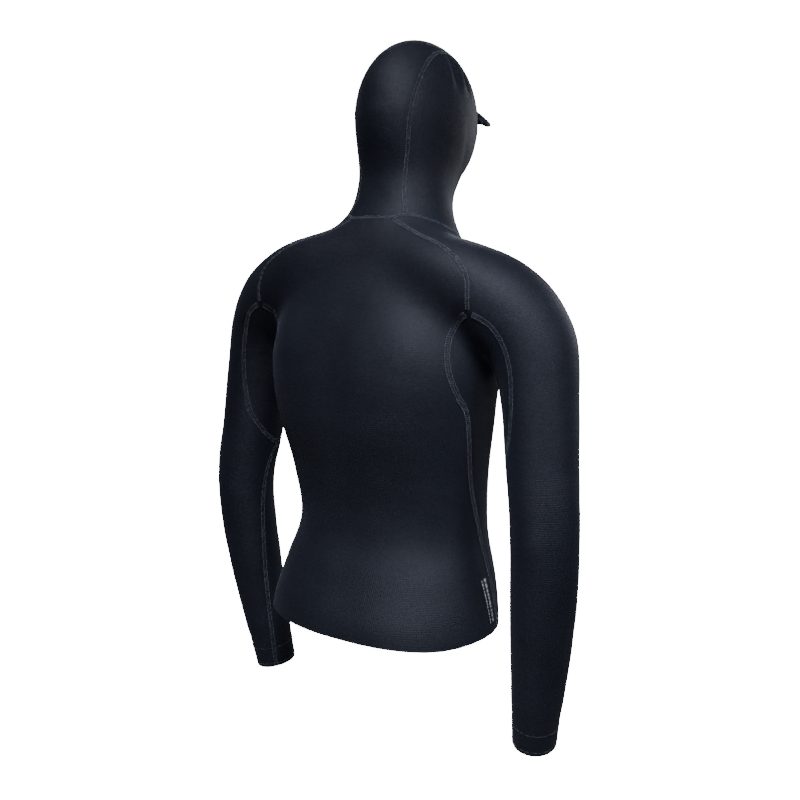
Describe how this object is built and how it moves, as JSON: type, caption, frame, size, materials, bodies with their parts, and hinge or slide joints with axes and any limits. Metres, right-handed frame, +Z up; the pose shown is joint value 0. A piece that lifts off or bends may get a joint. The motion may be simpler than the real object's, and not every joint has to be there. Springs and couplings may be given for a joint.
{
  "type": "hooded wetsuit jacket",
  "caption": "Close-fitting hooded long-sleeve neoprene wetsuit top with raglan sleeves, underarm panels, flatlock seams and a small soft peak over the face opening.",
  "frame": {"origin": "middle of the neck opening at the height of the seam at the nape, on the garment's centre plane, as worn by an upright wearer", "axes": "+Z up the wearer, -Y the way the wearer faces, +X towards the wearer's left"},
  "size_m": [0.6326, 0.3491, 0.9827],
  "materials": {
    "jersey": "fine knit jersey on foam, satin sheen",
    "sleeve_jersey": "fine knit jersey on foam, satin sheen",
    "thread": "flatlock thread",
    "smooth_skin": "smooth skin, satin",
    "stiffener_sheet": "matte sheet"
  },
  "bodies": {
    "torso": {"back_panel": "jersey", "front_panel": "jersey", "neck_stitch": "thread", "neck_seam_tape": "smooth_skin", "hem_tape": "smooth_skin", "right_underarm_panel": "jersey", "right_back_raglan_stitch": "thread", "right_front_raglan_stitch": "thread", "right_back_side_stitch": "thread", "right_front_side_stitch": "thread", "left_underarm_panel": "jersey", "left_back_raglan_stitch": "thread", "left_front_raglan_stitch": "thread", "left_back_side_stitch": "thread", "left_front_side_stitch": "thread"},
    "hood": {"hood_left_panel": "jersey", "hood_right_panel": "jersey", "hood_centre_panel": "jersey", "hood_right_stitch": "thread", "hood_left_stitch": "thread", "hood_chin_stitch": "thread", "face_binding": "smooth_skin"},
    "visor": {"visor_cover": "jersey", "visor_stiffener": "stiffener_sheet"},
    "right_upper_arm": {"right_upper_sleeve": "sleeve_jersey", "right_underarm_stitch": "thread", "right_inner_arm_stitch": "thread"},
    "right_forearm": {"right_forearm_sleeve": "sleeve_jersey", "right_cuff_seal": "smooth_skin", "right_cuff_stitch": "thread", "right_forearm_stitch": "thread"},
    "left_upper_arm": {"left_upper_sleeve": "sleeve_jersey", "left_underarm_stitch": "thread", "left_inner_arm_stitch": "thread"},
    "left_forearm": {"left_forearm_sleeve": "sleeve_jersey", "left_cuff_seal": "smooth_skin", "left_cuff_stitch": "thread", "left_forearm_stitch": "thread"}
  },
  "joints": [
    {"name": "neck_nod", "type": "hinge", "parent": "torso", "child": "hood", "pos_m": [0, -0.03, -0.01], "axis": [1, 0, 0], "range_deg": [-15, 15], "deforming": ["hood_left_panel", "hood_right_panel", "hood_centre_panel", "hood_right_stitch", "hood_left_stitch", "hood_chin_stitch"]},
    {"name": "visor_flip", "type": "hinge", "parent": "hood", "child": "visor", "pos_m": [0, -0.176, 0.162], "axis": [-1, 0, 0], "range_deg": [0, 20], "deforming": ["visor_cover", "visor_stiffener"]},
    {"name": "right_shoulder_raise", "type": "hinge", "parent": "torso", "child": "right_upper_arm", "pos_m": [-0.182, 0.01, -0.09], "axis": [0, 1, 0], "range_deg": [0, 30], "deforming": ["right_upper_sleeve", "right_underarm_stitch", "right_inner_arm_stitch", "right_underarm_panel"]},
    {"name": "right_elbow_bend", "type": "hinge", "parent": "right_upper_arm", "child": "right_forearm", "pos_m": [-0.27, 0.03, -0.425], "axis": [-1, 0, 0], "range_deg": [0, 45]},
    {"name": "left_shoulder_raise", "type": "hinge", "parent": "torso", "child": "left_upper_arm", "pos_m": [0.182, 0.01, -0.09], "axis": [0, -1, 0], "range_deg": [0, 30], "deforming": ["left_upper_sleeve", "left_underarm_stitch", "left_inner_arm_stitch", "left_underarm_panel"]},
    {"name": "left_elbow_bend", "type": "hinge", "parent": "left_upper_arm", "child": "left_forearm", "pos_m": [0.27, 0.03, -0.425], "axis": [-1, 0, 0], "range_deg": [0, 45]}
  ]
}
